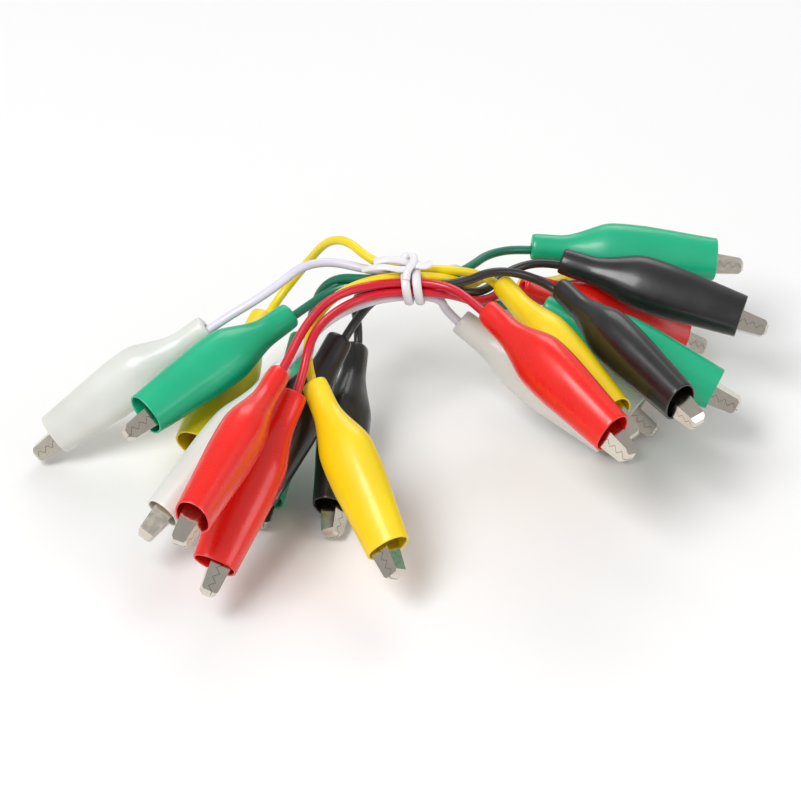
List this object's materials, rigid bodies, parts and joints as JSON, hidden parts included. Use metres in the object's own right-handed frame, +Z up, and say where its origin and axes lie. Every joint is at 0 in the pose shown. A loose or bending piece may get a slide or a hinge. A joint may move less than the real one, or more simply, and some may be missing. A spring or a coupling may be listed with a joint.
{
  "type": "alligator clip leads",
  "caption": "Bundle of coloured test leads with sleeved, sprung, toothed clips on both ends, bound by a twist tie.",
  "frame": {"origin": "centre of the bundle's footprint, on the surface it rests on", "axes": "+X along the bundle from the left clips to the right ones, +Y away from the front clips, +Z up"},
  "size_m": [0.153, 0.1034, 0.0413],
  "materials": {
    "steel": "polished",
    "copper": "satin",
    "tie_plastic": "satin",
    "white_sleeve": "satin",
    "white_insulation": "satin",
    "green_sleeve": "satin",
    "green_insulation": "satin",
    "yellow_sleeve": "satin",
    "yellow_insulation": "satin",
    "red_sleeve": "satin",
    "red_insulation": "satin",
    "black_sleeve": "satin",
    "black_insulation": "satin"
  },
  "bodies": {
    "root": {"white_1_wire": "white_insulation", "white_1_sleeves": "white_sleeve", "white_1_fixed_jaws": "steel", "white_2_wire": "white_insulation", "white_2_sleeves": "white_sleeve", "white_2_fixed_jaws": "steel", "green_1_wire": "green_insulation", "green_1_sleeves": "green_sleeve", "green_1_fixed_jaws": "steel", "green_2_wire": "green_insulation", "green_2_sleeves": "green_sleeve", "green_2_fixed_jaws": "steel", "yellow_1_wire": "yellow_insulation", "yellow_1_sleeves": "yellow_sleeve", "yellow_1_fixed_jaws": "steel", "yellow_2_wire": "yellow_insulation", "yellow_2_sleeves": "yellow_sleeve", "yellow_2_fixed_jaws": "steel", "red_1_wire": "red_insulation", "red_1_sleeves": "red_sleeve", "red_1_fixed_jaws": "steel", "red_2_wire": "red_insulation", "red_2_sleeves": "red_sleeve", "red_2_fixed_jaws": "steel", "black_1_wire": "black_insulation", "black_1_sleeves": "black_sleeve", "black_1_fixed_jaws": "steel", "black_2_wire": "black_insulation", "black_2_sleeves": "black_sleeve", "black_2_fixed_jaws": "steel", "pivot_rivets": "steel", "jaw_springs": "steel", "conductor_ends": "copper", "twist_tie": "tie_plastic"},
    "white_1_left_jaw": {"white_1_left_jaw": "steel"},
    "white_1_right_jaw": {"white_1_right_jaw": "steel"},
    "white_2_left_jaw": {"white_2_left_jaw": "steel"},
    "white_2_right_jaw": {"white_2_right_jaw": "steel"},
    "green_1_left_jaw": {"green_1_left_jaw": "steel"},
    "green_1_right_jaw": {"green_1_right_jaw": "steel"},
    "green_2_left_jaw": {"green_2_left_jaw": "steel"},
    "green_2_right_jaw": {"green_2_right_jaw": "steel"},
    "yellow_1_left_jaw": {"yellow_1_left_jaw": "steel"},
    "yellow_1_right_jaw": {"yellow_1_right_jaw": "steel"},
    "yellow_2_left_jaw": {"yellow_2_left_jaw": "steel"},
    "yellow_2_right_jaw": {"yellow_2_right_jaw": "steel"},
    "red_1_left_jaw": {"red_1_left_jaw": "steel"},
    "red_1_right_jaw": {"red_1_right_jaw": "steel"},
    "red_2_left_jaw": {"red_2_left_jaw": "steel"},
    "red_2_right_jaw": {"red_2_right_jaw": "steel"},
    "black_1_left_jaw": {"black_1_left_jaw": "steel"},
    "black_1_right_jaw": {"black_1_right_jaw": "steel"},
    "black_2_left_jaw": {"black_2_left_jaw": "steel"},
    "black_2_right_jaw": {"black_2_right_jaw": "steel"}
  },
  "joints": [
    {"name": "white_1_left_opening", "type": "hinge", "parent": "root", "child": "white_1_left_jaw", "pos_m": [-0.06428, 0.00566, 0.01056], "axis": [0.0343, 0.9105, -0.4122], "range_deg": [0, 20], "stiffness_Nm_per_rad": 0.02, "springref_deg": -34.38, "deforming": ["white_1_sleeves", "jaw_springs"]},
    {"name": "white_1_right_opening", "type": "hinge", "parent": "root", "child": "white_1_right_jaw", "pos_m": [0.04221, 0.01676, 0.00767], "axis": [-0.1424, -0.6832, 0.7162], "range_deg": [0, 20], "stiffness_Nm_per_rad": 0.02, "springref_deg": -34.38, "deforming": ["white_1_sleeves", "jaw_springs"]},
    {"name": "white_2_left_opening", "type": "hinge", "parent": "root", "child": "white_2_left_jaw", "pos_m": [-0.04207, -0.02188, 0.01622], "axis": [-0.7933, 0.4638, 0.3945], "range_deg": [0, 20], "stiffness_Nm_per_rad": 0.02, "springref_deg": -34.38, "deforming": ["white_2_sleeves", "jaw_springs"]},
    {"name": "white_2_right_opening", "type": "hinge", "parent": "root", "child": "white_2_right_jaw", "pos_m": [0.03646, 0.00846, 0.0085], "axis": [-0.2011, -0.8742, 0.4419], "range_deg": [0, 20], "stiffness_Nm_per_rad": 0.02, "springref_deg": -34.38, "deforming": ["white_2_sleeves", "jaw_springs"]},
    {"name": "green_1_left_opening", "type": "hinge", "parent": "root", "child": "green_1_left_jaw", "pos_m": [-0.02582, -0.00602, 0.00713], "axis": [-0.1079, 0.3667, -0.924], "range_deg": [0, 20], "stiffness_Nm_per_rad": 0.02, "springref_deg": -34.38, "deforming": ["green_1_sleeves", "jaw_springs"]},
    {"name": "green_1_right_opening", "type": "hinge", "parent": "root", "child": "green_1_right_jaw", "pos_m": [0.05839, 0.03989, 0.02459], "axis": [0.0751, -0.766, 0.6384], "range_deg": [0, 20], "stiffness_Nm_per_rad": 0.02, "springref_deg": -34.38, "deforming": ["green_1_sleeves", "jaw_springs"]},
    {"name": "green_2_left_opening", "type": "hinge", "parent": "root", "child": "green_2_left_jaw", "pos_m": [-0.04456, -0.00441, 0.02402], "axis": [-0.3911, 0.5179, -0.7608], "range_deg": [0, 20], "stiffness_Nm_per_rad": 0.02, "springref_deg": -34.38, "deforming": ["green_2_sleeves", "jaw_springs"]},
    {"name": "green_2_right_opening", "type": "hinge", "parent": "root", "child": "green_2_right_jaw", "pos_m": [0.05697, 0.01048, 0.01728], "axis": [-0.2206, -0.8879, 0.4037], "range_deg": [0, 20], "stiffness_Nm_per_rad": 0.02, "springref_deg": -34.38, "deforming": ["green_2_sleeves", "jaw_springs"]},
    {"name": "yellow_1_left_opening", "type": "hinge", "parent": "root", "child": "yellow_1_left_jaw", "pos_m": [-0.03826, 0.0009, 0.0134], "axis": [-0.4466, 0.2471, -0.8599], "range_deg": [0, 20], "stiffness_Nm_per_rad": 0.02, "springref_deg": -34.38, "deforming": ["yellow_1_sleeves", "jaw_springs"]},
    {"name": "yellow_1_right_opening", "type": "hinge", "parent": "root", "child": "yellow_1_right_jaw", "pos_m": [0.03828, -0.00314, 0.0255], "axis": [-0.8097, -0.4832, -0.3331], "range_deg": [0, 20], "stiffness_Nm_per_rad": 0.02, "springref_deg": -34.38, "deforming": ["yellow_1_sleeves", "jaw_springs"]},
    {"name": "yellow_2_left_opening", "type": "hinge", "parent": "root", "child": "yellow_2_left_jaw", "pos_m": [-0.0061, -0.03095, 0.01595], "axis": [-0.6113, -0.5183, 0.5981], "range_deg": [0, 20], "stiffness_Nm_per_rad": 0.02, "springref_deg": -34.38, "deforming": ["yellow_2_sleeves", "jaw_springs"]},
    {"name": "yellow_2_right_opening", "type": "hinge", "parent": "root", "child": "yellow_2_right_jaw", "pos_m": [0.05328, 0.04509, 0.01067], "axis": [0.3795, -0.8917, 0.2468], "range_deg": [0, 20], "stiffness_Nm_per_rad": 0.02, "springref_deg": -34.38, "deforming": ["yellow_2_sleeves", "jaw_springs"]},
    {"name": "red_1_left_opening", "type": "hinge", "parent": "root", "child": "red_1_left_jaw", "pos_m": [-0.03617, -0.03824, 0.02944], "axis": [-0.9186, 0.3858, 0.0859], "range_deg": [0, 20], "stiffness_Nm_per_rad": 0.02, "springref_deg": -34.38, "deforming": ["red_1_sleeves", "jaw_springs"]},
    {"name": "red_1_right_opening", "type": "hinge", "parent": "root", "child": "red_1_right_jaw", "pos_m": [0.03592, -0.01706, 0.03115], "axis": [-0.7073, -0.6217, 0.3364], "range_deg": [0, 20], "stiffness_Nm_per_rad": 0.02, "springref_deg": -34.38, "deforming": ["red_1_sleeves", "jaw_springs"]},
    {"name": "red_2_left_opening", "type": "hinge", "parent": "root", "child": "red_2_left_jaw", "pos_m": [-0.03231, -0.03485, 0.0155], "axis": [-0.2394, 0.5143, -0.8235], "range_deg": [0, 20], "stiffness_Nm_per_rad": 0.02, "springref_deg": -34.38, "deforming": ["red_2_sleeves", "jaw_springs"]},
    {"name": "red_2_right_opening", "type": "hinge", "parent": "root", "child": "red_2_right_jaw", "pos_m": [0.05265, 0.03273, 0.01198], "axis": [0.374, -0.7765, 0.5071], "range_deg": [0, 20], "stiffness_Nm_per_rad": 0.02, "springref_deg": -34.38, "deforming": ["red_2_sleeves", "jaw_springs"]},
    {"name": "black_1_left_opening", "type": "hinge", "parent": "root", "child": "black_1_left_jaw", "pos_m": [-0.02474, -0.01427, 0.01498], "axis": [-0.4017, 0.4955, -0.7701], "range_deg": [0, 20], "stiffness_Nm_per_rad": 0.02, "springref_deg": -34.38, "deforming": ["black_1_sleeves", "jaw_springs"]},
    {"name": "black_1_right_opening", "type": "hinge", "parent": "root", "child": "black_1_right_jaw", "pos_m": [0.06272, 0.02419, 0.0241], "axis": [-0.092, -0.7121, 0.696], "range_deg": [0, 20], "stiffness_Nm_per_rad": 0.02, "springref_deg": -34.38, "deforming": ["black_1_sleeves", "jaw_springs"]},
    {"name": "black_2_left_opening", "type": "hinge", "parent": "root", "child": "black_2_left_jaw", "pos_m": [-0.01243, -0.00873, 0.00676], "axis": [-0.7942, 0.2697, -0.5445], "range_deg": [0, 20], "stiffness_Nm_per_rad": 0.02, "springref_deg": -34.38, "deforming": ["black_2_sleeves", "jaw_springs"]},
    {"name": "black_2_right_opening", "type": "hinge", "parent": "root", "child": "black_2_right_jaw", "pos_m": [0.05064, -0.00489, 0.02876], "axis": [-0.8165, -0.5708, -0.0866], "range_deg": [0, 20], "stiffness_Nm_per_rad": 0.02, "springref_deg": -34.38, "deforming": ["black_2_sleeves", "jaw_springs"]}
  ]
}
